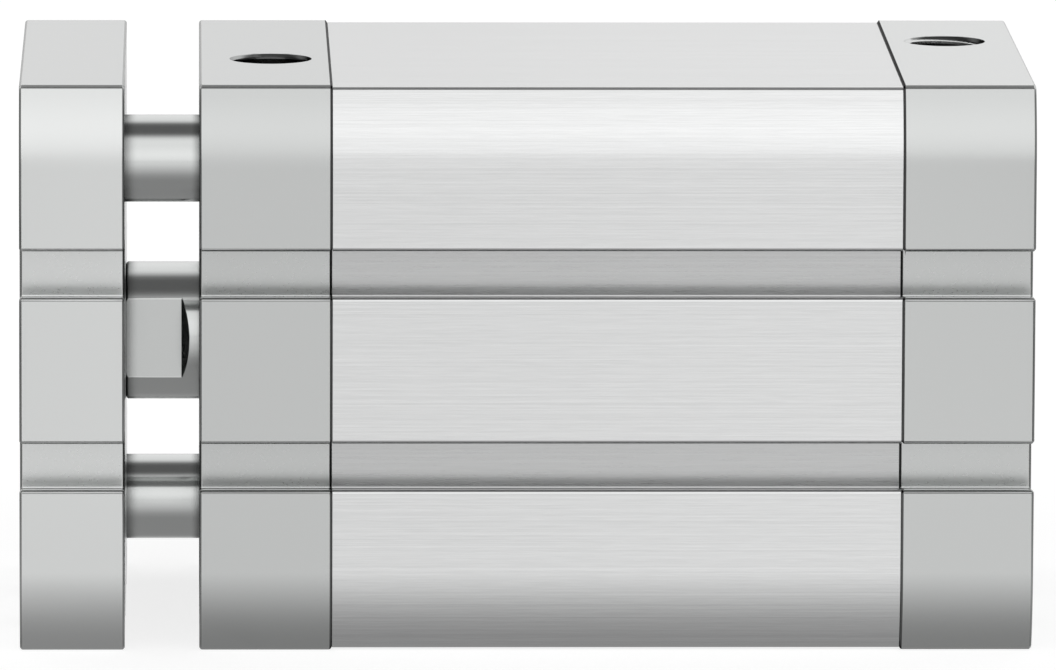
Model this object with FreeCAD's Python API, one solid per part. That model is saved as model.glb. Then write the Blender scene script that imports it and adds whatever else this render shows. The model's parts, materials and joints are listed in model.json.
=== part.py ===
import FreeCAD, Part
import math
import os

# Guided compact pneumatic cylinder, retracted, in millimetres.
# X runs along the piston rod: the yoke plate is at -X and the rear mounting face lies in X = 0.
# Z is up, with both air ports on top, and the origin is on the cylinder axis.

# Working sizes
STROKE = 50.0
BORE = 50.0
PISTON_ROD_DIAMETER = 16.0
GUIDE_ROD_DIAMETER = 10.0

# Outer section, shared by the yoke plate, both caps and the barrel
CORNER_WALL = 2.58               # metal between the piston bore and a corner bore
CORNER_CLEARANCE = 0.30          # radial room for a guide rod inside the barrel
EDGE_DISTANCE = 9.35             # corner bore centre to the outer faces
SIDE_ARC_RADIUS = 20.5           # rounding of the front and back faces towards top and bottom
BARREL_STEP = 0.24               # the barrel lies this much inside the outline of the caps
CAP_CHAMFER = 0.40               # outer edges along X of the caps and the yoke plate
BARREL_CHAMFER = 0.30            # the same edges of the barrel
LIP_CHAMFER = 0.30               # lips of the sensor slots
RIM_CHAMFER = 0.25               # edges round the end faces of the caps and the yoke plate

# Sensor slots, undercut grooves in pairs on the front, back and bottom faces
SLOT_OFFSET = 11.08              # middle of a face to the middle of a slot
SLOT_OPENING = 5.3
SLOT_UNDERCUT = 0.7              # each side, behind the lips
SLOT_DEPTH = 5.3
SLOT_LIP = 1.2
SLOT_FOOT = 0.20                 # bevel between the floor and the walls of a slot

# Caps
PORT_FROM_FACE = 8.25            # outer face of a cap to the middle of its air port
PORT_RADIUS = 4.3                # thread core of the air port
PORT_INNER_WALL = 2.6            # metal between an air port and the barrel
PORT_THREAD_DEPTH = 9.0
PORT_MOUTH = 0.45                # countersink of the air port
FRONT_PORT_Y = -6.4
REAR_PORT_Y = 10.3
PASSAGE_RADIUS = 2.5             # drilling under the port thread
CHANNEL_RADIUS = 1.6             # drilling from the port to the cylinder chamber
CHANNEL_INSET = 4.5              # middle of that drilling to the piston bore
SPIGOT_LENGTH = 2.25             # cap shoulder inside the barrel
CUSHION_PROUD = 0.75
CUSHION_SEAT = 1.5
CUSHION_INSET = 7.5              # outside of a cushion ring to the piston bore
CUSHION_WALL = 4.5
END_GAP = 0.10                   # piston to cushion at both ends of the stroke

# Seals and bushes of the caps
BARREL_SEAL_WIDTH = 1.4
BARREL_SEAL_HEIGHT = 1.7
ROD_SEAL_LENGTH = 4.5
ROD_SEAL_WALL = 4.0
ROD_BUSH_WALL = 2.0
ROD_BUSH_SHOULDER = 2.0          # metal of the bearing cap behind the piston rod bush
WIPER_LENGTH = 3.0
GUIDE_BUSH_WALL = 1.75           # bush and wiper of a guide rod share one bore
GUIDE_BUSH_SHOULDER = 2.0
SEAL_RECESS = 0.4                # seals lie this much below the front face
LIP_THICKNESS = 0.5              # sealing lip and rim, either side of the groove in a seal's face
LIP_DEPTH = 1.4

# Flange screws of the caps, hollow and tapped for the customer's bolts
SCREW_HEAD_RADIUS = 7.0
SCREW_HEAD_HEIGHT = 5.0
SCREW_HEAD_RECESS = 0.3
SCREW_CHAMFER = 0.3              # rim of every screw head
SCREW_ENGAGEMENT = 12.0          # length inside the barrel
SCREW_THREAD_RADIUS = 3.4
SCREW_THREAD_DEPTH = 15.0
SCREW_SOCKET = 9.0               # across the flats
SCREW_SOCKET_DEPTH = 3.5

# Piston, two discs that clamp the magnet and the guide ring
PISTON_LAND = 0.7
PISTON_SEAL_WIDTH = 1.8
PISTON_MIDDLE_LAND = 0.9
PISTON_LAND_CLEARANCE = 0.35     # radial, disc to bore
PISTON_SEAL_DEPTH = 2.9
GUIDE_RING_WIDTH = 2.0           # gap between the discs, for guide ring and magnet
GUIDE_RING_WALL = 1.8
MAGNET_WALL = 5.5
ROD_SHOULDER = 3.0               # step from the piston rod to its tail, which carries the piston
NUT_HEIGHT = 5.0
TAIL_PROUD = 1.0                 # rod end past the nut
TAIL_ROOM = 0.8                  # end cap pocket past the rod end
NUT_ROOM = 1.0                   # end cap pocket round the nut
ROD_RING_SECTION = 1.5           # sealing ring between piston and rod

# Rods
WRENCH_FLAT_DEPTH = 1.5          # each of the two flats, below the round of the piston rod
WRENCH_FLAT_LENGTH = 6.5
WRENCH_RUNOUT = 0.85
ROD_CHAMFER = 0.25
GUIDE_ROD_RESERVE = 1.7          # guide rod left inside the barrel at full stroke
GUIDE_ROD_CHAMFER = 0.5

# Yoke plate and its screws
YOKE_THICKNESS = 12.0
YOKE_GAP = 8.5                   # yoke plate to bearing cap, retracted
GUIDE_ROD_SEAT = 2.0             # guide rod end let into the yoke plate
YOKE_THREAD_CIRCLE = 44.0        # diameter of the circle of mounting threads
YOKE_THREAD_RADIUS = 2.5
YOKE_THREAD_COUNT = 4
CENTRE_SCREW_RADIUS = 4.0
CENTRE_SCREW_HEAD_RADIUS = 6.5
CENTRE_SCREW_HEAD = 8.0
CENTRE_SCREW_SOCKET = 6.0
GUIDE_SCREW_RADIUS = 3.0
GUIDE_SCREW_HEAD_RADIUS = 5.0
GUIDE_SCREW_HEAD = 6.0
GUIDE_SCREW_SOCKET = 5.0
SCREW_GRIP = 12.0                # thread of a yoke screw inside its rod
HEAD_CLEARANCE = 0.5             # counterbore round and above a screw head
HOLE_CLEARANCE = 0.25            # plain hole round a screw shank
TAP_RUNOUT = 2.0                 # tapped hole past the screw end

# Fits
RUNNING_CLEARANCE = 0.05         # radial, rods in bushes and seals, piston in the barrel
SEAT_CLEARANCE = 0.05            # radial, pieces pushed or screwed into their seats

# Stations and radii that follow from the sizes above
corner_radius = GUIDE_ROD_DIAMETER / 2 + CORNER_CLEARANCE
corner = (BORE / 2 + CORNER_WALL + corner_radius) / math.sqrt(2)
half_side = corner + EDGE_DISTANCE
cap_length = PORT_FROM_FACE + PORT_RADIUS + PORT_INNER_WALL
piston_half = PISTON_LAND + PISTON_SEAL_WIDTH + PISTON_MIDDLE_LAND + GUIDE_RING_WIDTH / 2
barrel_length = STROKE + 2 * (piston_half + SPIGOT_LENGTH + CUSHION_PROUD + END_GAP)
rod_radius = PISTON_ROD_DIAMETER / 2
guide_radius = GUIDE_ROD_DIAMETER / 2
tail_radius = rod_radius - ROD_SHOULDER
nut_across_flats = PISTON_ROD_DIAMETER
cushion_outer = BORE / 2 - CUSHION_INSET
cushion_inner = cushion_outer - CUSHION_WALL
land_radius = BORE / 2 - PISTON_LAND_CLEARANCE
seal_floor = land_radius - PISTON_SEAL_DEPTH
magnet_outer = BORE / 2 - RUNNING_CLEARANCE - GUIDE_RING_WALL - SEAT_CLEARANCE
magnet_inner = magnet_outer - MAGNET_WALL
spigot_radius = BORE / 2 - SEAT_CLEARANCE

x_rear = 0.0
x_end_cap = x_rear - cap_length
x_bearing_cap = x_end_cap - barrel_length
x_front = x_bearing_cap - cap_length
x_yoke_rear = x_front - YOKE_GAP
x_yoke_front = x_yoke_rear - YOKE_THICKNESS
x_piston_rear = x_end_cap - SPIGOT_LENGTH - CUSHION_PROUD - END_GAP
x_piston_middle = x_piston_rear - piston_half
x_piston_front = x_piston_middle - piston_half
x_tail = x_piston_rear + NUT_HEIGHT + TAIL_PROUD
x_guide_end = x_bearing_cap + STROKE + GUIDE_ROD_RESERVE

FORWARD = 1                      # inward direction of the bearing cap, along +X
BACKWARD = -1                    # inward direction of the end cap, along -X
GUIDE_CORNERS = {"upper": (-corner, corner), "lower": (corner, -corner)}
FREE_CORNERS = [(corner, corner), (-corner, -corner)]
ALL_CORNERS = list(GUIDE_CORNERS.values()) + FREE_CORNERS
OVERCUT = 1.0                    # cutters reach this far past the faces they break through
SAME = 1e-6                      # two places closer than this are one place


def point(x, y, z):
    return FreeCAD.Vector(x, y, z)


def rod(x_from, x_to, radius, y=0.0, z=0.0):
    """Cylinder along X between two stations, given in either order."""
    start = min(x_from, x_to)
    return Part.makeCylinder(radius, abs(x_to - x_from), point(start, y, z), point(1, 0, 0))


def ring(x_from, x_to, inner, outer, y=0.0, z=0.0):
    hole = rod(min(x_from, x_to) - OVERCUT, max(x_from, x_to) + OVERCUT, inner, y, z)
    return rod(x_from, x_to, outer, y, z).cut(hole)


def turned(profile, y=0.0, z=0.0):
    """Solid of revolution about the line through (y, z) along X, from (station, radius) pairs."""
    corners = [point(x, y, z + radius) for x, radius in profile]
    face = Part.Face(Part.makePolygon(corners + corners[:1]))
    return face.revolve(point(0, y, z), point(1, 0, 0), 360)


def hexagon(x_from, x_to, across_flats, y=0.0, z=0.0):
    radius = across_flats / math.sqrt(3)
    start = min(x_from, x_to)
    angles = [math.radians(60 * step) for step in range(6)]
    corners = [point(start, y + radius * math.cos(a), z + radius * math.sin(a)) for a in angles]
    face = Part.Face(Part.makePolygon(corners + corners[:1]))
    return face.extrude(point(abs(x_to - x_from), 0, 0))


def section(x, inset):
    """Plain outline of the body at station x, drawn inset from the outline of the caps."""
    half = half_side - inset
    radius = SIDE_ARC_RADIUS - inset
    reach = math.asin((half - corner) / radius)

    def bend(side, level, angle):
        y = side * (half - radius + radius * math.cos(angle))
        z = level * (corner + radius * math.sin(angle))
        return point(x, y, z)

    def arc(side, level):
        middle = bend(side, level, reach / 2)
        return Part.Arc(bend(side, level, 0), middle, bend(side, level, reach)).toShape()

    def line(start, end):
        return Part.LineSegment(start, end).toShape()

    edges = [
        arc(-1, 1), line(bend(-1, 1, 0), bend(-1, -1, 0)),
        arc(-1, -1), line(bend(-1, -1, reach), bend(1, -1, reach)),
        arc(1, -1), line(bend(1, -1, 0), bend(1, 1, 0)),
        arc(1, 1), line(bend(1, 1, reach), bend(-1, 1, reach)),
    ]
    return Part.Face(Part.Wire(edges))


def slot_outline(middle, depth):
    """Points (along the face, into the metal) round one undercut slot with bevelled lips and floor."""
    neck = SLOT_OPENING / 2
    room = neck + SLOT_UNDERCUT
    under_lip = depth - SLOT_DEPTH + SLOT_LIP
    half_slot = [
        (neck + LIP_CHAMFER + OVERCUT, -OVERCUT), (neck, LIP_CHAMFER), (neck, under_lip),
        (room, under_lip), (room, depth - SLOT_FOOT), (room - SLOT_FOOT, depth),
    ]
    left = [(middle - along, deep) for along, deep in half_slot]
    right = [(middle + along, deep) for along, deep in reversed(half_slot)]
    return left + right


def slot_cutters(x_from, x_to, inset):
    """Cutters for the slot pairs of the front, back and bottom faces."""
    half = half_side - inset
    start = min(x_from, x_to) - OVERCUT
    length = abs(x_to - x_from) + 2 * OVERCUT
    faces = [
        lambda along, deep: point(start, deep - half, along),
        lambda along, deep: point(start, half - deep, along),
        lambda along, deep: point(start, along, deep - half),
    ]
    cutters = []
    for place in faces:
        for middle in (-SLOT_OFFSET, SLOT_OFFSET):
            outline = slot_outline(middle, SLOT_DEPTH - inset)
            corners = [place(along, deep) for along, deep in outline]
            face = Part.Face(Part.makePolygon(corners + corners[:1]))
            cutters.append(face.extrude(point(length, 0, 0)))
    return cutters


def block(x_from, x_to, inset, chamfer):
    """Body of the outer section with its long edges chamfered, still without slots."""
    start = min(x_from, x_to)
    shape = section(start, inset).extrude(point(abs(x_to - x_from), 0, 0))
    return shape.makeChamfer(chamfer, long_edges(shape, inset))


def long_edges(shape, inset):
    """The four edges along X where the side arcs meet the top and bottom faces."""
    found = []
    for edge in shape.Edges:
        ends = [vertex.Point for vertex in edge.Vertexes]
        along = len(ends) == 2 and abs(ends[0].y - ends[1].y) + abs(ends[0].z - ends[1].z) < SAME
        if along and abs(abs(ends[0].z) - half_side + inset) < SAME and abs(ends[0].y) > corner:
            found.append(edge)
    return found


def rim_edges(shape):
    """All edges in the two end planes of a block."""
    box = shape.BoundBox
    ends = (box.XMin, box.XMax)
    flat = [edge for edge in shape.Edges if edge.BoundBox.XLength < SAME]
    return [edge for edge in flat if min(abs(edge.BoundBox.XMin - x) for x in ends) < SAME]


def finished_block(x_from, x_to):
    """Block with chamfered end faces and its slots, as the caps and the yoke plate have it."""
    shape = block(x_from, x_to, 0.0, CAP_CHAMFER)
    shape = shape.makeChamfer(RIM_CHAMFER, rim_edges(shape))
    return shape.cut(slot_cutters(x_from, x_to, 0.0))


def cylinder_barrel():
    low = x_bearing_cap - OVERCUT
    high = x_end_cap + OVERCUT
    cutters = slot_cutters(x_bearing_cap, x_end_cap, BARREL_STEP)
    cutters.append(rod(low, high, BORE / 2))
    cutters += [rod(low, high, corner_radius, y, z) for y, z in ALL_CORNERS]
    return block(x_bearing_cap, x_end_cap, BARREL_STEP, BARREL_CHAMFER).cut(cutters)


def air_port(outer_x, inward, port_y):
    """Tapped port from the top face, its drilling and the channel into the chamber."""
    x = outer_x + inward * PORT_FROM_FACE
    channel_z = math.sqrt((BORE / 2 - CHANNEL_INSET) ** 2 - port_y ** 2)
    down = point(0, 0, -1)
    top = point(x, port_y, half_side)
    thread = Part.makeCylinder(PORT_RADIUS, PORT_THREAD_DEPTH, top, down)
    mouth = Part.makeCone(PORT_RADIUS + PORT_MOUTH, PORT_RADIUS, PORT_MOUTH, top, down)
    passage = Part.makeCylinder(PASSAGE_RADIUS, half_side - channel_z, top, down)
    inner_x = outer_x + inward * (cap_length + SPIGOT_LENGTH + OVERCUT)
    channel = rod(x, inner_x, CHANNEL_RADIUS, port_y, channel_z)
    return [thread, mouth, passage, channel]


def screw_hole(outer_x, inward, y, z):
    head_end = outer_x + inward * (SCREW_HEAD_RECESS + SCREW_HEAD_HEIGHT)
    return [
        rod(outer_x - inward * OVERCUT, head_end, SCREW_HEAD_RADIUS + SEAT_CLEARANCE, y, z),
        rod(head_end, outer_x + inward * (cap_length + OVERCUT), corner_radius, y, z),
    ]


def cap_blank(outer_x, inward, port_y):
    """Block with its shoulder, grooves and air port, as both caps have them."""
    inner_x = outer_x + inward * cap_length
    face_x = inner_x + inward * SPIGOT_LENGTH
    shape = finished_block(outer_x, inner_x).fuse(rod(inner_x, face_x, spigot_radius))
    seal_groove = ring(inner_x, inner_x + inward * BARREL_SEAL_WIDTH,
                       BORE / 2 - BARREL_SEAL_HEIGHT, BORE / 2 + OVERCUT)
    cushion_groove = ring(face_x - inward * CUSHION_SEAT, face_x + inward * OVERCUT,
                          cushion_inner - SEAT_CLEARANCE, cushion_outer + SEAT_CLEARANCE)
    return shape.cut([seal_groove, cushion_groove] + air_port(outer_x, inward, port_y))


def bearing_cap():
    cutters = []
    seal_end = x_front + SEAL_RECESS + ROD_SEAL_LENGTH
    face_x = x_bearing_cap + SPIGOT_LENGTH
    cutters.append(rod(x_front - OVERCUT, seal_end, rod_radius + ROD_SEAL_WALL + SEAT_CLEARANCE))
    cutters.append(rod(seal_end, face_x - ROD_BUSH_SHOULDER, rod_radius + ROD_BUSH_WALL + SEAT_CLEARANCE))
    cutters.append(rod(seal_end, face_x + OVERCUT, rod_radius + CORNER_CLEARANCE))
    bush_end = x_bearing_cap - GUIDE_BUSH_SHOULDER
    bush_seat = guide_radius + GUIDE_BUSH_WALL + SEAT_CLEARANCE
    for y, z in GUIDE_CORNERS.values():
        cutters.append(rod(x_front - OVERCUT, bush_end, bush_seat, y, z))
        cutters.append(rod(bush_end, x_bearing_cap + OVERCUT, corner_radius, y, z))
    for y, z in FREE_CORNERS:
        cutters += screw_hole(x_front, FORWARD, y, z)
    return cap_blank(x_front, FORWARD, FRONT_PORT_Y).cut(cutters)


def end_cap():
    pocket_radius = nut_across_flats / math.sqrt(3) + NUT_ROOM
    face_x = x_end_cap - SPIGOT_LENGTH
    cutters = [rod(face_x - OVERCUT, x_tail + TAIL_ROOM, pocket_radius)]
    for y, z in ALL_CORNERS:
        cutters += screw_hole(x_rear, BACKWARD, y, z)
    return cap_blank(x_rear, BACKWARD, REAR_PORT_Y).cut(cutters)


def flange_screw(outer_x, inward, y, z):
    """Hollow screw: flanged head with a hexagon socket, tapped through the middle."""
    front = outer_x + inward * SCREW_HEAD_RECESS
    head_end = front + inward * SCREW_HEAD_HEIGHT
    tip = outer_x + inward * (cap_length + SCREW_ENGAGEMENT)
    shank_radius = corner_radius - SEAT_CLEARANCE
    shape = turned([
        (front, 0), (front, SCREW_HEAD_RADIUS - SCREW_CHAMFER),
        (front + inward * SCREW_CHAMFER, SCREW_HEAD_RADIUS), (head_end, SCREW_HEAD_RADIUS),
        (head_end, shank_radius), (tip, shank_radius), (tip, 0),
    ], y, z)
    socket = hexagon(front - inward * OVERCUT, front + inward * SCREW_SOCKET_DEPTH, SCREW_SOCKET, y, z)
    thread = rod(front, outer_x + inward * SCREW_THREAD_DEPTH, SCREW_THREAD_RADIUS, y, z)
    return shape.cut([socket, thread])


def bearing_cap_screws():
    return Part.makeCompound([flange_screw(x_front, FORWARD, y, z) for y, z in FREE_CORNERS])


def end_cap_screws():
    return Part.makeCompound([flange_screw(x_rear, BACKWARD, y, z) for y, z in ALL_CORNERS])


def barrel_seal(inner_x, inward):
    """Square ring in the groove behind the cap's shoulder."""
    start = inner_x + inward * SEAT_CLEARANCE
    end = inner_x + inward * (BARREL_SEAL_WIDTH - SEAT_CLEARANCE)
    return ring(start, end, BORE / 2 - BARREL_SEAL_HEIGHT + SEAT_CLEARANCE, BORE / 2 - SEAT_CLEARANCE)


def cushion_ring(inner_x, inward):
    face_x = inner_x + inward * SPIGOT_LENGTH
    return ring(face_x - inward * CUSHION_SEAT, face_x + inward * CUSHION_PROUD, cushion_inner, cushion_outer)


def lip_seal(length, inner, outer, y=0.0, z=0.0):
    """Seal behind the front face of the bearing cap, with a groove in its face that frees the lip."""
    start = x_front + SEAL_RECESS
    middle = (inner + outer) / 2
    return turned([
        (start, inner), (start, inner + LIP_THICKNESS), (start + LIP_DEPTH, middle),
        (start, outer - LIP_THICKNESS), (start, outer), (start + length, outer), (start + length, inner),
    ], y, z)


def piston_rod_seal():
    return lip_seal(ROD_SEAL_LENGTH, rod_radius + RUNNING_CLEARANCE, rod_radius + ROD_SEAL_WALL)


def piston_rod_bush():
    start = x_front + SEAL_RECESS + ROD_SEAL_LENGTH
    end = x_bearing_cap + SPIGOT_LENGTH - ROD_BUSH_SHOULDER
    return ring(start, end, rod_radius + RUNNING_CLEARANCE, rod_radius + ROD_BUSH_WALL)


def guide_rod_wiper(y, z):
    outer = guide_radius + GUIDE_BUSH_WALL
    return lip_seal(WIPER_LENGTH, guide_radius + RUNNING_CLEARANCE, outer, y, z)


def guide_rod_bush(y, z):
    start = x_front + SEAL_RECESS + WIPER_LENGTH
    end = x_bearing_cap - GUIDE_BUSH_SHOULDER
    return ring(start, end, guide_radius + RUNNING_CLEARANCE, guide_radius + GUIDE_BUSH_WALL, y, z)


def yoke_plate():
    low = x_yoke_front - OVERCUT
    high = x_yoke_rear + OVERCUT
    cutters = [
        rod(low, high, CENTRE_SCREW_RADIUS + HOLE_CLEARANCE),
        rod(low, x_yoke_front + CENTRE_SCREW_HEAD + HEAD_CLEARANCE, CENTRE_SCREW_HEAD_RADIUS + HEAD_CLEARANCE),
    ]
    for y, z in GUIDE_CORNERS.values():
        head_end = x_yoke_front + GUIDE_SCREW_HEAD + HEAD_CLEARANCE
        cutters.append(rod(low, high, GUIDE_SCREW_RADIUS + HOLE_CLEARANCE, y, z))
        cutters.append(rod(low, head_end, GUIDE_SCREW_HEAD_RADIUS + HEAD_CLEARANCE, y, z))
        cutters.append(rod(x_yoke_rear - GUIDE_ROD_SEAT, high, guide_radius + SEAT_CLEARANCE, y, z))
    for step in range(YOKE_THREAD_COUNT):
        angle = 2 * math.pi * step / YOKE_THREAD_COUNT
        y = YOKE_THREAD_CIRCLE / 2 * math.cos(angle)
        z = YOKE_THREAD_CIRCLE / 2 * math.sin(angle)
        cutters.append(rod(low, high, YOKE_THREAD_RADIUS, y, z))
    return finished_block(x_yoke_front, x_yoke_rear).cut(cutters)


def wrench_flat(side):
    """Cutter for one flat of the piston rod, with its sloping end."""
    level = side * (rod_radius - WRENCH_FLAT_DEPTH)
    flat_end = x_yoke_rear + WRENCH_FLAT_LENGTH
    rise = WRENCH_FLAT_DEPTH + OVERCUT
    height = PISTON_ROD_DIAMETER + 2 * OVERCUT
    bottom = -height / 2
    corners = [
        point(x_yoke_rear - OVERCUT, level, bottom),
        point(flat_end, level, bottom),
        point(flat_end + WRENCH_RUNOUT * rise / WRENCH_FLAT_DEPTH, level + side * rise, bottom),
        point(x_yoke_rear - OVERCUT, level + side * rise, bottom),
    ]
    face = Part.Face(Part.makePolygon(corners + corners[:1]))
    return face.extrude(point(0, 0, height))


def piston_rod():
    groove = tail_radius - ROD_RING_SECTION
    shape = turned([
        (x_yoke_rear, 0), (x_yoke_rear, rod_radius - ROD_CHAMFER),
        (x_yoke_rear + ROD_CHAMFER, rod_radius), (x_piston_front, rod_radius),
        (x_piston_front, tail_radius), (x_piston_middle, tail_radius),
        (x_piston_middle, groove), (x_piston_middle + ROD_RING_SECTION, groove),
        (x_piston_middle + ROD_RING_SECTION, tail_radius), (x_tail - GUIDE_ROD_CHAMFER, tail_radius),
        (x_tail, tail_radius - GUIDE_ROD_CHAMFER), (x_tail, 0),
    ])
    tapped = rod(x_yoke_rear - OVERCUT, x_yoke_rear + SCREW_GRIP + TAP_RUNOUT,
                 CENTRE_SCREW_RADIUS + SEAT_CLEARANCE)
    return shape.cut([tapped, wrench_flat(1), wrench_flat(-1)])


def guide_rod(y, z):
    start = x_yoke_rear - GUIDE_ROD_SEAT
    shape = turned([
        (start, 0), (start, guide_radius), (x_guide_end - GUIDE_ROD_CHAMFER, guide_radius),
        (x_guide_end, guide_radius - GUIDE_ROD_CHAMFER), (x_guide_end, 0),
    ], y, z)
    tapped = rod(start - OVERCUT, start + SCREW_GRIP + TAP_RUNOUT, GUIDE_SCREW_RADIUS + SEAT_CLEARANCE, y, z)
    return shape.cut(tapped)


def socket_screw(head_seat, head_radius, head_height, shank_radius, tip, socket, y=0.0, z=0.0):
    """Cap screw along X with its head on head_seat and a hexagon socket half the head deep."""
    top = head_seat - head_height
    shape = turned([
        (top, 0), (top, head_radius - SCREW_CHAMFER), (top + SCREW_CHAMFER, head_radius),
        (head_seat, head_radius), (head_seat, shank_radius), (tip, shank_radius), (tip, 0),
    ], y, z)
    return shape.cut(hexagon(top - OVERCUT, top + head_height / 2, socket, y, z))


def yoke_centre_screw():
    seat = x_yoke_front + CENTRE_SCREW_HEAD + HEAD_CLEARANCE
    return socket_screw(seat, CENTRE_SCREW_HEAD_RADIUS, CENTRE_SCREW_HEAD, CENTRE_SCREW_RADIUS,
                        x_yoke_rear + SCREW_GRIP, CENTRE_SCREW_SOCKET)


def guide_rod_screws():
    seat = x_yoke_front + GUIDE_SCREW_HEAD + HEAD_CLEARANCE
    tip = x_yoke_rear - GUIDE_ROD_SEAT + SCREW_GRIP
    screws = [socket_screw(seat, GUIDE_SCREW_HEAD_RADIUS, GUIDE_SCREW_HEAD, GUIDE_SCREW_RADIUS, tip,
                           GUIDE_SCREW_SOCKET, y, z) for y, z in GUIDE_CORNERS.values()]
    return Part.makeCompound(screws)


def piston_disc(outer_x, inward):
    """One half of the piston: a seal groove outside, and half the gap for magnet and guide ring."""
    def at(deep):
        return outer_x + inward * deep

    seal_end = PISTON_LAND + PISTON_SEAL_WIDTH
    gap_start = piston_half - GUIDE_RING_WIDTH / 2
    hub_radius = magnet_inner - SEAT_CLEARANCE
    hole = tail_radius + SEAT_CLEARANCE
    return turned([
        (at(0), hole), (at(0), land_radius), (at(PISTON_LAND), land_radius),
        (at(PISTON_LAND), seal_floor), (at(seal_end), seal_floor), (at(seal_end), land_radius),
        (at(gap_start), land_radius), (at(gap_start), hub_radius),
        (at(piston_half), hub_radius), (at(piston_half), hole),
    ])


def piston_seal(outer_x, inward):
    start = outer_x + inward * (PISTON_LAND + SEAT_CLEARANCE)
    end = outer_x + inward * (PISTON_LAND + PISTON_SEAL_WIDTH - SEAT_CLEARANCE)
    return ring(start, end, seal_floor + SEAT_CLEARANCE, BORE / 2 - RUNNING_CLEARANCE)


def middle_ring(inner, outer):
    """Ring that lies between the two piston discs."""
    reach = GUIDE_RING_WIDTH / 2 - SEAT_CLEARANCE
    return ring(x_piston_middle - reach, x_piston_middle + reach, inner, outer)


def piston_guide_ring():
    outer = BORE / 2 - RUNNING_CLEARANCE
    return middle_ring(outer - GUIDE_RING_WALL, outer)


def piston_magnet():
    return middle_ring(magnet_inner, magnet_outer)


def piston_rod_ring():
    """Sealing ring in the groove of the rod tail, inside the rear disc."""
    start = x_piston_middle + SEAT_CLEARANCE
    end = x_piston_middle + ROD_RING_SECTION - SEAT_CLEARANCE
    return ring(start, end, tail_radius - ROD_RING_SECTION + SEAT_CLEARANCE, tail_radius)


def piston_nut():
    nut = hexagon(x_piston_rear, x_piston_rear + NUT_HEIGHT, nut_across_flats)
    hole = rod(x_piston_rear - OVERCUT, x_tail + OVERCUT, tail_radius + SEAT_CLEARANCE)
    return nut.cut(hole)


def all_parts():
    parts = {
        "cylinder_barrel": cylinder_barrel(),
        "bearing_cap": bearing_cap(),
        "end_cap": end_cap(),
        "bearing_cap_screws": bearing_cap_screws(),
        "end_cap_screws": end_cap_screws(),
        "front_barrel_seal": barrel_seal(x_bearing_cap, FORWARD),
        "rear_barrel_seal": barrel_seal(x_end_cap, BACKWARD),
        "front_cushion_ring": cushion_ring(x_bearing_cap, FORWARD),
        "rear_cushion_ring": cushion_ring(x_end_cap, BACKWARD),
        "piston_rod_seal": piston_rod_seal(),
        "piston_rod_bush": piston_rod_bush(),
        "yoke_plate": yoke_plate(),
        "yoke_centre_screw": yoke_centre_screw(),
        "guide_rod_screws": guide_rod_screws(),
        "piston_rod": piston_rod(),
        "piston_front_disc": piston_disc(x_piston_front, FORWARD),
        "piston_rear_disc": piston_disc(x_piston_rear, BACKWARD),
        "piston_seal_front": piston_seal(x_piston_front, FORWARD),
        "piston_seal_rear": piston_seal(x_piston_rear, BACKWARD),
        "piston_guide_ring": piston_guide_ring(),
        "piston_magnet": piston_magnet(),
        "piston_rod_ring": piston_rod_ring(),
        "piston_nut": piston_nut(),
    }
    for name, (y, z) in GUIDE_CORNERS.items():
        parts["guide_rod_" + name] = guide_rod(y, z)
        parts["guide_rod_bush_" + name] = guide_rod_bush(y, z)
        parts["guide_rod_wiper_" + name] = guide_rod_wiper(y, z)
    return parts


os.makedirs("parts", exist_ok=True)
for node, shape in all_parts().items():
    shape.exportStep("parts/" + node + ".step")
    state = "valid" if shape.isValid() else "INVALID"
    print(node, len(shape.Solids), "solids", round(shape.Volume, 1), "mm3", state)
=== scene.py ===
import json
import math

import bmesh
import bpy
from mathutils import Matrix, Vector


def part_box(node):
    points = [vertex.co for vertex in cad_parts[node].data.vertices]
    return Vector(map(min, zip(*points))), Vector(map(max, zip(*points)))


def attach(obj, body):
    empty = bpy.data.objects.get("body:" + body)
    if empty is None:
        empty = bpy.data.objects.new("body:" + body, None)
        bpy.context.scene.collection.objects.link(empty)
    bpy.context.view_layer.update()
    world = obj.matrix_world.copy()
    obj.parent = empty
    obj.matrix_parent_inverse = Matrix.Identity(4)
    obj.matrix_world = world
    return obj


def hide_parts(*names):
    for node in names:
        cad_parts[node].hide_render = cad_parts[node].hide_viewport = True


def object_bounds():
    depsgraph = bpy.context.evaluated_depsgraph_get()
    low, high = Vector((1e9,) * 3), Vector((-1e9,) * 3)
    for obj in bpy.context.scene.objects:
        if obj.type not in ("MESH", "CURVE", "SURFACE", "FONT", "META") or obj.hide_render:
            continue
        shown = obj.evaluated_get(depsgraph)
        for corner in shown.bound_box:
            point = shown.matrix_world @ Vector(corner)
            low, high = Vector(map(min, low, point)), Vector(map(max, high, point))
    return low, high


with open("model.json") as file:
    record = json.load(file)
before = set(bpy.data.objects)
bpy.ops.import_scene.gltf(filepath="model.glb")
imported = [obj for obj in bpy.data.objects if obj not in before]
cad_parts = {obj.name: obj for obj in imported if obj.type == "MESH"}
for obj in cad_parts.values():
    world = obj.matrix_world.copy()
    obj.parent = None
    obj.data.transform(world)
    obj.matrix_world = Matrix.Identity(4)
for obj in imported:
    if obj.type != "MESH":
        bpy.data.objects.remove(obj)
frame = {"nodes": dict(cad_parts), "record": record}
cad_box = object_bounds()

# Lengths in metres, angles in degrees. X runs along the rods, Z is up, the photographed side is -Y.

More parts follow.
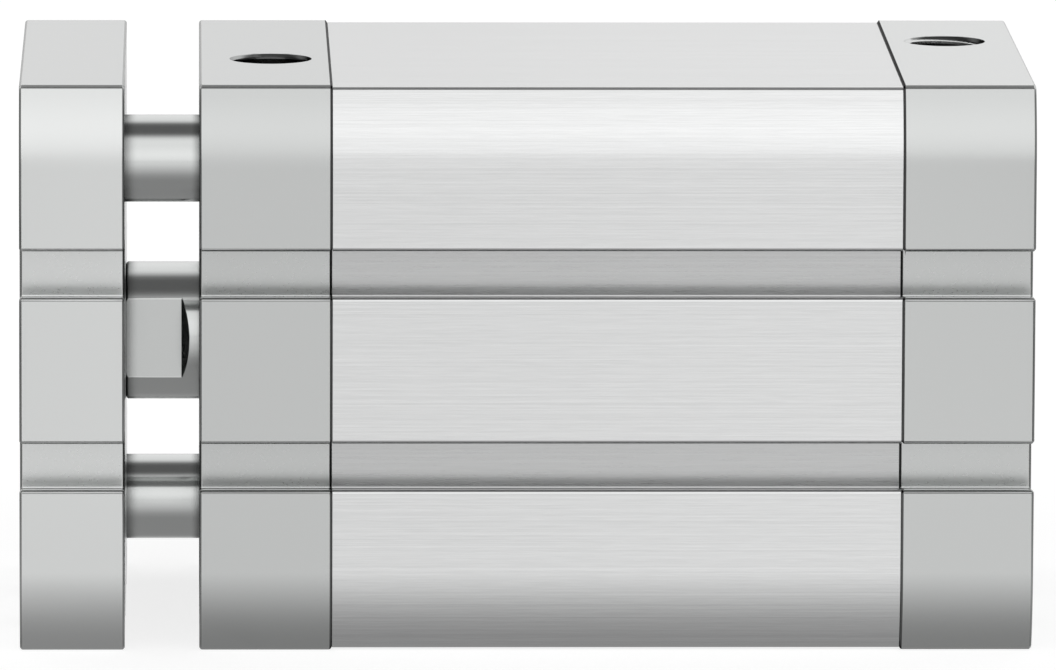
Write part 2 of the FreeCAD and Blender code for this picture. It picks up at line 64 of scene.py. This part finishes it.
# What the frame says
NODE_SLOTS = {row["node"]: row["material_slot"] for row in frame["record"]["subparts"]}
NODE_BODIES = {node: body for body, nodes in frame["record"]["behaviour"]["bodies"].items() for node in nodes}
MOUNTS = {mount["name"]: mount for mount in frame["record"]["mounts"]}
CAD_MIDDLE = (Vector(cad_box[0]) + Vector(cad_box[1])) / 2
CAD_BOTTOM = cad_box[0][2]
CAD_TOP = cad_box[1][2]
BARREL_BOX = [Vector(corner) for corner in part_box("cylinder_barrel")]
BARREL_MIDDLE = (BARREL_BOX[0] + BARREL_BOX[1]) / 2
BARREL_HALF = (BARREL_BOX[1].x - BARREL_BOX[0].x) / 2

# Camera
CAMERA_PLACE = Vector((-0.09642, -1.54717, 0.22705))
CAMERA_YAW = 1.458               # turned to the right of +Y
CAMERA_PITCH = 8.368             # looking down
CAMERA_ROLL = 0.214
CAMERA_LENS = 458.4              # in millimetres, like the sensor
CAMERA_SENSOR = 36.0
CAMERA_CLIP = (0.05, 50.0)

# Softened edges
SMALL_NODES = ["piston_rod", "guide_rod_upper", "guide_rod_lower", "bearing_cap_screws", "end_cap_screws",
               "yoke_centre_screw", "guide_rod_screws"]
EDGE_ROUND = 0.00008             # rounding of edges
EDGE_ANGLE = 28.0                # edges sharper than this are rounded
EDGE_STEPS = 2
RIM_CHAMFER = 0.00025            # edges of slots and holes in the end faces of caps and yoke plate
RIM_BEND = (89.0, 91.0)          # the surface turns between these angles over such an edge
LONG_ROUND = 0.00013             # rounding of both edges of each bevel along X
LONG_STEPS = 3
LONG_BEND = (20.0, 50.0)         # the surface turns between these angles over such an edge
ROUND_PROFILE = 0.5
MERGE_DISTANCE = 1e-7
SLIVER = 1e-6                    # faces narrower than this are taken out
FLAT_ANGLE = 0.2                 # faces within this angle count as one flat face
IN_PLANE = 1e-6                  # an edge this near to an end face lies in it
STRAIGHT = 0.9                   # an edge runs along X when this share of its length does

# Threads: radius of the bore, pitch, and height of the ridge
PORT_THREAD = (0.0043, 0.000907, 0.00030)
YOKE_THREAD = (0.0025, 0.0010, 0.00025)
SCREW_THREAD = (0.0034, 0.00125, 0.00030)
THREAD_STEPS = 40                # sections in one turn
THREAD_ROOT = 0.00050            # foot of the ridge inside the wall
THREAD_FOOT = (0.02, 0.95)       # where the foot begins and ends, in pitches
THREAD_CREST = (0.3, 0.6)        # where the crest begins and ends, in pitches
SOCKET_DEPTH = 0.0035            # hexagon socket in front of a screw's thread
SCREW_THREAD_LENGTH = 0.0112

# Air ports
PORT_STARTS = {"front_port": (110.0, 0.0016), "rear_port": (190.0, 0.0)}   # a thread's first angle and depth
# painted light and shade in the air ports: painted shade on the walls, a painted lit side on each mouth
PORT_LIT_SIDES = {"front_port": 148.0, "rear_port": 185.0}   # angle of the lit side of a mouth
PORT_RIM = 0.00475               # radius of the mouth
PORT_WALL_PAINTED_SHADE = 0.16
PORT_MOUTH_PAINTED_LIGHT = [(0.0, 0.15), (0.5, 0.35), (0.85, 0.5), (0.90, 1.0)]   # from the dark to the lit side
MASK_EDGE = 0.00002              # soft edge of a painted area

# Grain of the materials: features per metre along X, Y and Z, for one or more layers
ALONG = [(8.0, 5200.0, 5200.0), (8.0, 7000.0, 7000.0), (260.0, 6500.0, 6500.0)]
FINE = [(3500.0, 3500.0, 3500.0)]
ROUND = [(5000.0, 120.0, 120.0)]
COARSE = [(900.0, 900.0, 900.0)]
GRAIN_DETAIL = 3.0
GRAIN_RANGE = (0.3, 0.7)         # the part of a noise that is spread over the whole range of a material

# Tones of the blocks, painted light and shade among them, as factors of their colours; a pair is for front
# and rear, if not said otherwise
# painted light: the barrel is lighter towards the rear
BARREL_PAINTED_LIGHT = (0.98, 1.02)
SLOT_TONE = 0.76                 # inside the barrel's sensor slots
SLOT_ROUGHNESS = 0.07            # added inside the sensor slots
SLOT_DEPTH = (0.0300, 0.0312)    # nearer to the middle planes is inside the slots, further is outside
# painted light: the end cap is a little lighter than the bearing cap
CAP_PAINTED_LIGHT = (0.98, 1.035)
# painted light on the flat tops and undersides of the caps
CAP_TOP_PAINTED_LIGHT = (1.065, 1.24)
# painted shade on the top and underside of the yoke plate
YOKE_TOP_PAINTED_SHADE = 0.972
# painted shade on the chamfers, standing in for their dark reflections
RIM_PAINTED_SHADE = (0.43, 0.52)         # chamfers of the end faces
TOP_RIM_PAINTED_SHADE = (0.75, 1.0)      # the same along the top and the underside
# painted shade in the joints with the barrel
JOINT_PAINTED_SHADE = (0.19, 0.08)       # in the joints with the barrel: along the sides, along top and underside
JOINT_REACH = (0.0005, 0.0010)   # a joint fades out between these distances from the barrel

# Kinds of face by the share of the normal along X or Z: not one below the first, fully one above the second
ENDWAYS = (0.2, 0.5)             # end faces and their chamfers
END_FACE = (0.9, 0.99)
TOPWAYS = (0.3, 0.6)             # top, underside and their chamfers
TOP_FACE = (0.95, 0.99)          # top and underside

# Tones of the rods, with painted shade in their corners
ROD_RADIUS = 0.008               # of the piston rod
FLAT_TONE = 0.88                 # wrench flats
FLAT_DEPTH = (0.00015, 0.00005)  # deeper below the round is a flat, less deep isn't
# painted shade from ambient occlusion
CORNER_PAINTED_SHADE = 0.38               # next to what a rod enters
CORNER_REACH = 0.0022            # how near that is
CORNER_OPEN = (0.5, 0.85)        # with less open space round it a point is in a corner, with more it isn't
CORNER_SAMPLES = 8

# Studio
FLOOR_DROP = 0.00002             # floor below the part
FLOOR_SIZE = 8.0
FLOOR_TONE = 0.35
FLOOR_LIFT = 0.79                # glow that brings the lit floor up to white
FLOOR_SIDE = (0.09, 0.18)        # the reflected floor turns to the next tone here, by distance along X
FLOOR_SIDE_TONE = 0.50
SKY_SIDE = (0.70, 0.92)          # the surroundings turn to the next tone here, by share of the X direction
SKY_SIDE_TONE = 0.50
# Brightness by angle over the part: 0 is the front horizon, 90 overhead, 180 the back horizon
STUDIO = [
    (0, 1.09), (4, 1.15), (8, 1.20), (16, 1.25), (28, 1.20), (40, 1.12), (54, 1.12), (61, 0.94), (67, 0.56),
    (70, 0.39), (74, 0.20), (80, 0.145), (101, 0.145), (110, 0.24), (115, 0.50), (120, 0.78), (128, 1.04),
    (150, 1.08), (162, 1.00), (171, 0.85), (180, 0.85),
]
# Reflected floor by how flatly it is seen: 0 is straight down, 1 along the floor
FLOOR_SHEEN = [(0.0, 0.34), (0.20, 0.34), (0.36, 0.43), (0.53, 0.62), (0.66, 0.76), (0.85, 0.96), (0.92, 1.0)]


def add(tree, kind, inputs=None, **settings):
    """Adds a shader node; an input may be a number, a colour or another node's output."""
    made = tree.nodes.new(kind)
    for name, value in settings.items():
        setattr(made, name, value)
    for name, value in (inputs or {}).items():
        if isinstance(value, bpy.types.NodeSocket):
            tree.links.new(value, made.inputs[name])
        else:
            made.inputs[name].default_value = value
    return made


def number(tree, operation, *inputs):
    """Result of a calculation with numbers."""
    return add(tree, "ShaderNodeMath", dict(enumerate(inputs)), operation=operation).outputs[0]


def multiply(tree, first, second):
    return number(tree, "MULTIPLY", first, second)


def vector(tree, operation, *inputs):
    """Result of a calculation with vectors: a number for LENGTH and DOT_PRODUCT, or else a vector."""
    made = add(tree, "ShaderNodeVectorMath", dict(enumerate(inputs)), operation=operation)
    return made.outputs["Value" if operation in ("LENGTH", "DOT_PRODUCT") else "Vector"]


def parts(tree, whole):
    """The X, Y and Z parts of a vector."""
    return add(tree, "ShaderNodeSeparateXYZ", {0: whole}).outputs


def sizes(tree, whole):
    """The X, Y and Z parts of a vector without their signs."""
    return parts(tree, vector(tree, "ABSOLUTE", whole))


def place(tree):
    """The shaded point in the object's own coordinates."""
    return add(tree, "ShaderNodeTexCoord").outputs["Object"]


def ramp(tree, value, low, high, at_low, at_high):
    """Value that goes smoothly from at_low to at_high while the input goes from low to high."""
    made = add(tree, "ShaderNodeMapRange", {"Value": value, "From Min": low, "From Max": high,
                                            "To Min": at_low, "To Max": at_high},
               interpolation_type="SMOOTHSTEP")
    return made.outputs["Result"]


def blend(tree, share, first, second):
    """First value where the share is 0, second where it is 1."""
    made = add(tree, "ShaderNodeMapRange", {"Value": share, "To Min": first, "To Max": second})
    return made.outputs["Result"]


def tone_curve(tree, value, stops):
    """Colour ramp of greys through (place, tone) stops, scaled so that the brightest is 1."""
    made = add(tree, "ShaderNodeValToRGB", {"Fac": value})
    marks = made.color_ramp.elements
    while len(marks) < len(stops):
        marks.new(1.0)
    peak = max(tone for position, tone in stops)
    for mark, (position, tone) in zip(marks, stops):
        mark.position = position
        mark.color = (tone / peak,) * 3 + (1.0,)
    return made.outputs["Color"]


def grain(tree, layers):
    """Mean of noises, each with its own number of features per metre along X, Y and Z."""
    spot = place(tree)
    mean = None
    for count, stretch in enumerate(layers, 1):
        scaled = vector(tree, "MULTIPLY", spot, stretch)
        noise = add(tree, "ShaderNodeTexNoise", {"Vector": scaled, "Scale": 1.0, "Detail": GRAIN_DETAIL})
        mean = blend(tree, 1 / count, mean, noise.outputs["Fac"]) if mean else noise.outputs["Fac"]
    return mean


def spread(tree, value, low, high):
    """Maps the middle of a noise to the range from low to high."""
    made = add(tree, "ShaderNodeMapRange", {"Value": value, "From Min": GRAIN_RANGE[0],
                                            "From Max": GRAIN_RANGE[1], "To Min": low, "To Max": high})
    return made.outputs["Result"]


def shade(colour, factor):
    """Colour made lighter or darker, as red, green, blue and opacity."""
    return tuple(min(1.0, channel * factor) for channel in colour) + (1.0,)


def start_material(name):
    material = bpy.data.materials.new(name)
    material.use_nodes = True
    return material.node_tree, material.node_tree.nodes["Principled BSDF"], material


def surface(name, colour, metallic, roughness, layers, swing, rough_swing, relief, tone=None, slotted=False):
    """Material whose colour, gloss and relief follow one grain.

    The grain varies the colour by the share swing and the roughness by rough_swing, and relief is its height.
    tone may make parts of the surface darker or lighter, much of it with painted light and shade, and a
    slotted one is rougher in the sensor slots.
    """
    tree, shader, material = start_material(name)
    lines = grain(tree, layers)
    tint = add(tree, "ShaderNodeMix", {"Factor": spread(tree, lines, 0.0, 1.0), "A": shade(colour, 1 - swing),
                                       "B": shade(colour, 1 + swing)}, data_type="RGBA")
    base = tint.outputs["Result"]
    # the tone, painted light and shade included, scales both the colour and the specular tint
    if tone:
        factor = tone(tree)
        toned = add(tree, "ShaderNodeVectorMath", {0: base, "Scale": factor}, operation="SCALE")
        base = toned.outputs["Vector"]
        tree.links.new(factor, shader.inputs["Specular Tint"])
    tree.links.new(base, shader.inputs["Base Color"])
    rough = spread(tree, lines, roughness - rough_swing, roughness + rough_swing)
    if slotted:
        rough = number(tree, "MULTIPLY_ADD", in_slots(tree), SLOT_ROUGHNESS, rough)
    tree.links.new(rough, shader.inputs["Roughness"])
    bump = add(tree, "ShaderNodeBump", {"Height": lines, "Strength": 1.0, "Distance": relief})
    tree.links.new(bump.outputs["Normal"], shader.inputs["Normal"])
    shader.inputs["Metallic"].default_value = metallic
    return material


def looking(tree, axis, limits, at_low=0.0, at_high=1.0):
    """Goes from at_low to at_high while the normal's share along an axis goes from one limit to the other."""
    normal = add(tree, "ShaderNodeTexCoord").outputs["Normal"]
    return ramp(tree, sizes(tree, normal)[axis], *limits, at_low, at_high)


def in_slots(tree):
    """1 on the walls and floors of the sensor slots, 0 on the outer faces and the end faces."""
    spot = sizes(tree, place(tree))
    outermost = number(tree, "MAXIMUM", spot["Y"], spot["Z"])
    inside = ramp(tree, outermost, *SLOT_DEPTH, 1.0, 0.0)
    return multiply(tree, inside, looking(tree, "X", ENDWAYS, 1.0, 0.0))


def along_barrel(tree, at_front, at_rear):
    """Value that changes along X from the barrel's front end to its rear end."""
    return ramp(tree, parts(tree, place(tree))["X"], BARREL_BOX[0].x, BARREL_BOX[1].x, at_front, at_rear)


def barrel_tone(tree):
    """Darker inside the sensor slots, and painted light that makes it lighter to the rear."""
    return multiply(tree, blend(tree, in_slots(tree), 1.0, SLOT_TONE), along_barrel(tree, *BARREL_PAINTED_LIGHT))


def painted_edge_shade(tree):
    """Painted shade on the chamfers round the end faces, standing in for their dark reflections, and most of
    all in the joints with the barrel.
    """
    on_top = looking(tree, "Z", TOPWAYS)
    rim = blend(tree, on_top, along_barrel(tree, *RIM_PAINTED_SHADE), along_barrel(tree, *TOP_RIM_PAINTED_SHADE))
    joint = blend(tree, on_top, *JOINT_PAINTED_SHADE)
    from_middle = sizes(tree, vector(tree, "SUBTRACT", place(tree), BARREL_MIDDLE))["X"]
    near, far = (BARREL_HALF + reach for reach in JOINT_REACH)
    tone = ramp(tree, from_middle, near, far, joint, rim)
    endways = looking(tree, "X", ENDWAYS)
    not_end = looking(tree, "X", END_FACE, 1.0, 0.0)
    return blend(tree, multiply(tree, endways, not_end), 1.0, tone)


def painted_port_shade(tree, port):
    """Painted shade inside an air port, with painted light on one side of its mouth; 1 outside it."""
    x, y = MOUNTS[port]["pos_m"][:2]
    lit_side = math.radians(PORT_LIT_SIDES[port])
    towards_light = (math.cos(lit_side), math.sin(lit_side), 0.0)
    offset = vector(tree, "SUBTRACT", place(tree), (x, y, CAD_TOP))
    flat = vector(tree, "MULTIPLY", offset, (1.0, 1.0, 0.0))
    away = vector(tree, "LENGTH", flat)
    facing = vector(tree, "DOT_PRODUCT", vector(tree, "NORMALIZE", flat), towards_light)
    lit = add(tree, "ShaderNodeMapRange", {"Value": facing, "From Min": -1.0}).outputs["Result"]
    wall_end = PORT_THREAD[0] + EDGE_ROUND
    in_mouth = ramp(tree, away, wall_end, wall_end + MASK_EDGE, 0.0, 1.0)
    tone = blend(tree, in_mouth, PORT_WALL_PAINTED_SHADE, tone_curve(tree, lit, PORT_MOUTH_PAINTED_LIGHT))
    inside = ramp(tree, away, PORT_RIM - MASK_EDGE, PORT_RIM + MASK_EDGE, 1.0, 0.0)
    below = ramp(tree, parts(tree, offset)["Z"], -2 * MASK_EDGE, -MASK_EDGE, 1.0, 0.0)
    return blend(tree, multiply(tree, inside, below), 1.0, tone)


def cap_tone(tree):
    """Painted shade on the chamfers and in the air ports, and painted light that makes the tops and
    undersides lighter and the end cap a little lighter than the bearing cap.
    """
    tops = along_barrel(tree, *CAP_TOP_PAINTED_LIGHT)
    lightness = blend(tree, looking(tree, "Z", TOP_FACE), along_barrel(tree, *CAP_PAINTED_LIGHT), tops)
    tone = multiply(tree, painted_edge_shade(tree), lightness)
    for port in PORT_STARTS:
        tone = multiply(tree, tone, painted_port_shade(tree, port))
    return tone


def yoke_tone(tree):
    """Painted shade on the chamfers, and on the top and underside."""
    return multiply(tree, painted_edge_shade(tree), blend(tree, looking(tree, "Z", TOP_FACE), 1.0, YOKE_TOP_PAINTED_SHADE))


def rod_tone(tree):
    """Painted shade from ambient occlusion close to what a rod enters, and darker on the wrench flats, nearer
    to the axis than the round.
    """
    radius = vector(tree, "LENGTH", vector(tree, "MULTIPLY", place(tree), (0.0, 1.0, 1.0)))
    deep, shallow = (ROD_RADIUS - depth for depth in FLAT_DEPTH)
    flat = ramp(tree, radius, deep, shallow, FLAT_TONE, 1.0)
    space = add(tree, "ShaderNodeAmbientOcclusion", {"Distance": CORNER_REACH}, samples=CORNER_SAMPLES)
    return multiply(tree, flat, ramp(tree, space.outputs["AO"], *CORNER_OPEN, CORNER_PAINTED_SHADE, 1.0))


FINISHES = {
    "barrel_aluminium": dict(colour=(0.735, 0.74, 0.74), metallic=1.0, roughness=0.21, layers=ALONG,
                             swing=0.09, rough_swing=0.02, relief=3e-7, tone=barrel_tone, slotted=True),
    "cap_aluminium": dict(colour=(0.572, 0.582, 0.577), metallic=1.0, roughness=0.22, layers=FINE,
                          swing=0.010, rough_swing=0.02, relief=1e-7, tone=cap_tone, slotted=True),
    "yoke_aluminium": dict(colour=(0.68, 0.69, 0.685), metallic=1.0, roughness=0.22, layers=FINE,
                           swing=0.010, rough_swing=0.02, relief=1e-7, tone=yoke_tone, slotted=True),
    "ground_steel": dict(colour=(0.615, 0.627, 0.621), metallic=1.0, roughness=0.14, layers=ROUND,
                         swing=0.004, rough_swing=0.01, relief=3e-8, tone=rod_tone),
    "zinc_steel": dict(colour=(0.58, 0.59, 0.60), metallic=1.0, roughness=0.30, layers=COARSE,
                       swing=0.05, rough_swing=0.06, relief=8e-7),
    "bright_cut": dict(colour=(0.70, 0.71, 0.705), metallic=1.0, roughness=0.25, layers=FINE,
                       swing=0.02, rough_swing=0.03, relief=1e-7),
    "seal_rubber": dict(colour=(0.016, 0.016, 0.017), metallic=0.0, roughness=0.55, layers=FINE,
                        swing=0.15, rough_swing=0.08, relief=4e-6),
    "cushion_plastic": dict(colour=(0.05, 0.055, 0.06), metallic=0.0, roughness=0.5, layers=FINE,
                            swing=0.1, rough_swing=0.06, relief=3e-6),
    "slide_plastic": dict(colour=(0.70, 0.66, 0.55), metallic=0.0, roughness=0.45, layers=FINE,
                          swing=0.05, rough_swing=0.06, relief=3e-6),
    "bush_bronze": dict(colour=(0.52, 0.36, 0.19), metallic=1.0, roughness=0.42, layers=FINE,
                        swing=0.12, rough_swing=0.08, relief=2e-6),
    "piston_aluminium": dict(colour=(0.66, 0.67, 0.67), metallic=1.0, roughness=0.32, layers=ROUND,
                             swing=0.03, rough_swing=0.05, relief=6e-7),
    "magnet_compound": dict(colour=(0.03, 0.028, 0.027), metallic=0.1, roughness=0.6, layers=FINE,
                            swing=0.15, rough_swing=0.08, relief=3e-6),
}
MATERIALS = {name: surface(name, **finish) for name, finish in FINISHES.items()}


def bend(edge):
    """Angle in degrees by which the surface turns over an edge."""
    return math.degrees(edge.calc_face_angle(0.0))


def bevel_edges(work, edges, width, steps):
    bmesh.ops.bevel(work, geom=edges, offset=width, offset_type="OFFSET", segments=steps,
                    profile=ROUND_PROFILE, affect="EDGES", clamp_overlap=False)


def round_long_edges(work):
    """Rounds the bevels along X: outer edges, slot lips and slot floors."""
    found = []
    for edge in work.edges:
        along = abs(edge.verts[0].co.x - edge.verts[1].co.x) > STRAIGHT * edge.calc_length()
        if along and LONG_BEND[0] < bend(edge) < LONG_BEND[1]:
            found.append(edge)
    bevel_edges(work, found, LONG_ROUND, LONG_STEPS)


def chamfer_rims(work, low, high):
    """Chamfers the square edges of slots and holes in the two end faces of a block."""
    rims = []
    for edge in work.edges:
        stations = [vertex.co.x for vertex in edge.verts]
        in_end = any(max(abs(x - end) for x in stations) < IN_PLANE for end in (low, high))
        if in_end and RIM_BEND[0] < bend(edge) < RIM_BEND[1]:
            rims.append(edge)
    bevel_edges(work, rims, RIM_CHAMFER, 1)


def keep_inside(mesh, source):
    """Puts the points of a mesh that lie outside the box of its source back on that box."""
    for axis in range(3):
        stations = [vertex.co[axis] for vertex in source.vertices]
        low, high = min(stations), max(stations)
        for vertex in mesh.vertices:
            vertex.co[axis] = min(max(vertex.co[axis], low), high)


def joined_mesh(source, shape_edges):
    """Copy of a CAD mesh with joined flat faces and, if asked for, edges of another shape."""
    work = bmesh.new()
    work.from_mesh(source.data)
    bmesh.ops.remove_doubles(work, verts=work.verts, dist=MERGE_DISTANCE)
    bmesh.ops.dissolve_limit(work, angle_limit=math.radians(FLAT_ANGLE), verts=work.verts, edges=work.edges)
    if shape_edges:
        shape_edges(work)
    for face in work.faces:
        face.smooth = True
    mesh = bpy.data.meshes.new(source.name + "_plain")
    work.to_mesh(mesh)
    work.free()
    return mesh


def remove_slivers(mesh):
    """Joins points that coincide and takes out the faces without area that rounding leaves in corners."""
    work = bmesh.new()
    work.from_mesh(mesh)
    bmesh.ops.remove_doubles(work, verts=work.verts, dist=SLIVER)
    bmesh.ops.dissolve_degenerate(work, edges=work.edges, dist=SLIVER)
    work.to_mesh(mesh)
    work.free()


def modified(mesh, kind, **settings):
    """Result of one modifier on a mesh."""
    draft = bpy.data.objects.new(mesh.name + "_draft", mesh)
    bpy.context.scene.collection.objects.link(draft)
    modifier = draft.modifiers.new(kind, kind)
    for name, value in settings.items():
        setattr(modifier, name, value)
    bpy.context.view_layer.update()
    result = bpy.data.meshes.new_from_object(draft.evaluated_get(bpy.context.evaluated_depsgraph_get()))
    bpy.data.objects.remove(draft)
    return result


def finished_mesh(source, shape_edges):
    """Mesh for a CAD node with rounded edges and clean shading."""
    rounded = modified(joined_mesh(source, shape_edges), "BEVEL", width=EDGE_ROUND, segments=EDGE_STEPS,
                       limit_method="ANGLE", angle_limit=math.radians(EDGE_ANGLE), use_clamp_overlap=False)
    keep_inside(rounded, source.data)
    remove_slivers(rounded)
    return modified(rounded, "WEIGHTED_NORMAL", keep_sharp=True)


def dress(piece, node, material):
    """Links a piece, gives it a material and lets it ride on the body of a CAD node."""
    bpy.context.scene.collection.objects.link(piece)
    piece.data.materials.clear()
    piece.data.materials.append(material)
    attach(piece, NODE_BODIES[node])


def finished(node, shape_edges=None):
    """Stands a finished piece in for a CAD node, on the node's own body."""
    mesh = finished_mesh(frame["nodes"][node], shape_edges)
    mesh.name = node + "_finished"
    piece = bpy.data.objects.new(node + "_finished", mesh)
    dress(piece, node, MATERIALS[NODE_SLOTS[node]])
    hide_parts(node)


def finished_block(node, rims=None):
    """Finished barrel, cap or yoke plate; rims gives the stations of the end faces with chamfered slots."""
    def shape_edges(work):
        if rims:
            chamfer_rims(work, *rims)
        round_long_edges(work)

    finished(node, shape_edges)


def make_finished():
    """Finished pieces for all that shows much of its edges: the four blocks, the rods and the screws."""
    finished_block("cylinder_barrel")
    finished_block("bearing_cap", (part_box("bearing_cap")[0][0], BARREL_BOX[0].x))
    finished_block("end_cap", (BARREL_BOX[1].x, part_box("end_cap")[1][0]))
    finished_block("yoke_plate", [corner[0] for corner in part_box("yoke_plate")])
    for node in SMALL_NODES:
        finished(node)


def thread(points, faces, bore, thread_sizes):
    """Adds one helical ridge inside a bore, given by start, axis, length and the angle where it begins."""
    start, axis, length, begin = bore
    radius, pitch, height = thread_sizes
    turn = Vector((0, 0, -1)).rotation_difference(axis)
    count = int(THREAD_STEPS * (length / pitch - 1))
    foot = radius + THREAD_ROOT
    crest = radius - height
    corners = [(foot, THREAD_FOOT[0]), (crest, THREAD_CREST[0]), (crest, THREAD_CREST[1]),
               (foot, THREAD_FOOT[1])]
    first = len(points)
    for step in range(count + 1):
        angle = math.radians(begin) - 2 * math.pi * step / THREAD_STEPS
        outward = turn @ Vector((math.cos(angle), math.sin(angle), 0))
        for reach, share in corners:
            points.append(start + outward * reach + axis * pitch * (share + step / THREAD_STEPS))
    sides = len(corners)
    for step in range(count):
        low = first + sides * step
        for side in range(sides):
            after = (side + 1) % sides
            faces.append((low + side, low + after, low + after + sides, low + side + sides))
    faces.append(tuple(first + side for side in range(sides)))
    faces.append(tuple(first + sides * count + side for side in range(sides)))


def threads(name, node, bores, thread_sizes, material):
    """Piece with the thread ridges of several bores, on the body of a node."""
    points = []
    faces = []
    for bore in bores:
        thread(points, faces, bore, thread_sizes)
    mesh = bpy.data.meshes.new(name)
    mesh.from_pydata(points, [], faces)
    work = bmesh.new()
    work.from_mesh(mesh)
    bmesh.ops.recalc_face_normals(work, faces=work.faces)
    work.to_mesh(mesh)
    work.free()
    dress(bpy.data.objects.new(name, mesh), node, MATERIALS[material])


def port_bores():
    """Thread bores of the two air ports, from the top face down."""
    for port, (begin, depth) in PORT_STARTS.items():
        x, y = MOUNTS[port]["pos_m"][:2]
        length = MOUNTS[port]["dims"]["length_mm"] / 1000 - depth
        yield Vector((x, y, CAD_TOP - depth)), Vector((0, 0, -1)), length, begin


def yoke_bores():
    """Through threads of the yoke plate, on their circle."""
    low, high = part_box("yoke_plate")
    mount = MOUNTS["yoke_mounting"]["dims"]
    radius = mount["pcd_mm"] / 2000
    for step in range(mount["count"]):
        angle = 2 * math.pi * step / mount["count"]
        start = Vector((low[0], radius * math.cos(angle), radius * math.sin(angle)))
        yield start, Vector((1, 0, 0)), high[0] - low[0], 0.0


def screw_bores(node, inward):
    """Threads behind the sockets of the hollow cap screws; the bearing cap has them in two corners only."""
    low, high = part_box(node)
    face = low[0] if inward > 0 else high[0]
    side = MOUNTS["rear_mounting"]["dims"]["spacing_x_mm"] / 2000
    for y, z in ((side, side), (side, -side), (-side, side), (-side, -side)):
        if node == "end_cap_screws" or y * z > 0:
            start = Vector((face + inward * SOCKET_DEPTH, y, z))
            yield start, Vector((inward, 0, 0)), SCREW_THREAD_LENGTH, 0.0


def make_threads():
    """Thread ridges of ports, yoke plate and hollow screws."""
    threads("port_threads", "end_cap", port_bores(), PORT_THREAD, "bright_cut")
    threads("yoke_threads", "yoke_plate", yoke_bores(), YOKE_THREAD, "yoke_aluminium")
    for node, inward in (("end_cap_screws", -1), ("bearing_cap_screws", 1)):
        name = node.replace("screws", "screw_threads")
        threads(name, node, screw_bores(node, inward), SCREW_THREAD, "zinc_steel")


def colour_nodes():
    """Gives every CAD node the material of its slot, also those that a finished piece stands for."""
    for node, cad in frame["nodes"].items():
        cad.data.materials.clear()
        cad.data.materials.append(MATERIALS[NODE_SLOTS[node]])


def floor_material():
    """Pale floor, lifted to white with its shadows kept; its reflection is darker where seen steeply."""
    tree, shader, material = start_material("floor")
    shader.inputs["Base Color"].default_value = shade((FLOOR_TONE,) * 3, 1)
    shader.inputs["Roughness"].default_value = 1.0
    shader.inputs["Specular IOR Level"].default_value = 0.0
    path = add(tree, "ShaderNodeLightPath").outputs
    seen = number(tree, "MAXIMUM", path["Is Camera Ray"], path["Is Transmission Ray"])
    glow = add(tree, "ShaderNodeEmission", {"Strength": multiply(tree, seen, FLOOR_LIFT)})
    lifted = add(tree, "ShaderNodeAddShader", {0: shader.outputs[0], 1: glow.outputs[0]})
    flatness = add(tree, "ShaderNodeLayerWeight", {"Blend": 0.5}).outputs["Facing"]
    side = ramp(tree, sizes(tree, place(tree))["X"], *FLOOR_SIDE, 1.0, FLOOR_SIDE_TONE)
    tones = tone_curve(tree, flatness, FLOOR_SHEEN)
    sheen = add(tree, "ShaderNodeEmission", {"Color": tones, "Strength": side})
    both = add(tree, "ShaderNodeMixShader", {0: path["Is Glossy Ray"], 1: lifted.outputs[0],
                                             2: sheen.outputs[0]})
    tree.links.new(both.outputs[0], tree.nodes["Material Output"].inputs["Surface"])
    return material


def make_floor():
    half = FLOOR_SIZE / 2
    corners = [(-half, -half, 0), (half, -half, 0), (half, half, 0), (-half, half, 0)]
    mesh = bpy.data.meshes.new("floor")
    mesh.from_pydata(corners, [], [(0, 1, 2, 3)])
    mesh.materials.append(floor_material())
    floor = bpy.data.objects.new("floor", mesh)
    floor.location = (CAD_MIDDLE.x, CAD_MIDDLE.y, CAD_BOTTOM - FLOOR_DROP)
    bpy.context.scene.collection.objects.link(floor)


def make_studio():
    """Soft studio: a bright front, a bright back and a dark strip overhead, all along X, and even sides."""
    world = bpy.data.worlds.new("studio")
    world.use_nodes = True
    bpy.context.scene.world = world
    tree = world.node_tree
    direction = add(tree, "ShaderNodeTexCoord").outputs["Generated"]
    axes = parts(tree, direction)
    front = multiply(tree, axes["Y"], -1.0)
    turn = number(tree, "ARCTAN2", axes["Z"], front)
    share = multiply(tree, turn, 1 / math.pi)
    tones = tone_curve(tree, share, [(angle / 180, level) for angle, level in STUDIO])
    peak = max(level for angle, level in STUDIO)
    side = ramp(tree, sizes(tree, direction)["X"], *SKY_SIDE, 0.0, 1.0)
    sky = tree.nodes["Background"]
    sky.inputs["Color"].default_value = (1.0, 1.0, 1.0, 1.0)
    tree.links.new(blend(tree, side, multiply(tree, tones, peak), SKY_SIDE_TONE), sky.inputs["Strength"])


def make_camera():
    yaw, pitch, roll = (math.radians(angle) for angle in (CAMERA_YAW, CAMERA_PITCH, CAMERA_ROLL))
    forward = Vector((math.sin(yaw) * math.cos(pitch), math.cos(yaw) * math.cos(pitch), -math.sin(pitch)))
    level = Vector((math.cos(yaw), -math.sin(yaw), 0))
    up = level.cross(forward)
    right = math.cos(roll) * level + math.sin(roll) * up
    top = math.cos(roll) * up - math.sin(roll) * level
    turned = Matrix((right, top, -forward)).transposed().to_4x4()
    data = bpy.data.cameras.new("camera")
    data.sensor_fit = "HORIZONTAL"
    data.sensor_width = CAMERA_SENSOR
    data.lens = CAMERA_LENS
    data.clip_start, data.clip_end = CAMERA_CLIP
    camera = bpy.data.objects.new("camera", data)
    camera.matrix_world = Matrix.Translation(CAMERA_PLACE) @ turned
    bpy.context.scene.collection.objects.link(camera)
    bpy.context.scene.camera = camera


make_finished()
colour_nodes()
make_threads()
make_floor()
make_studio()
make_camera()
bpy.context.scene.view_settings.view_transform = "Standard"
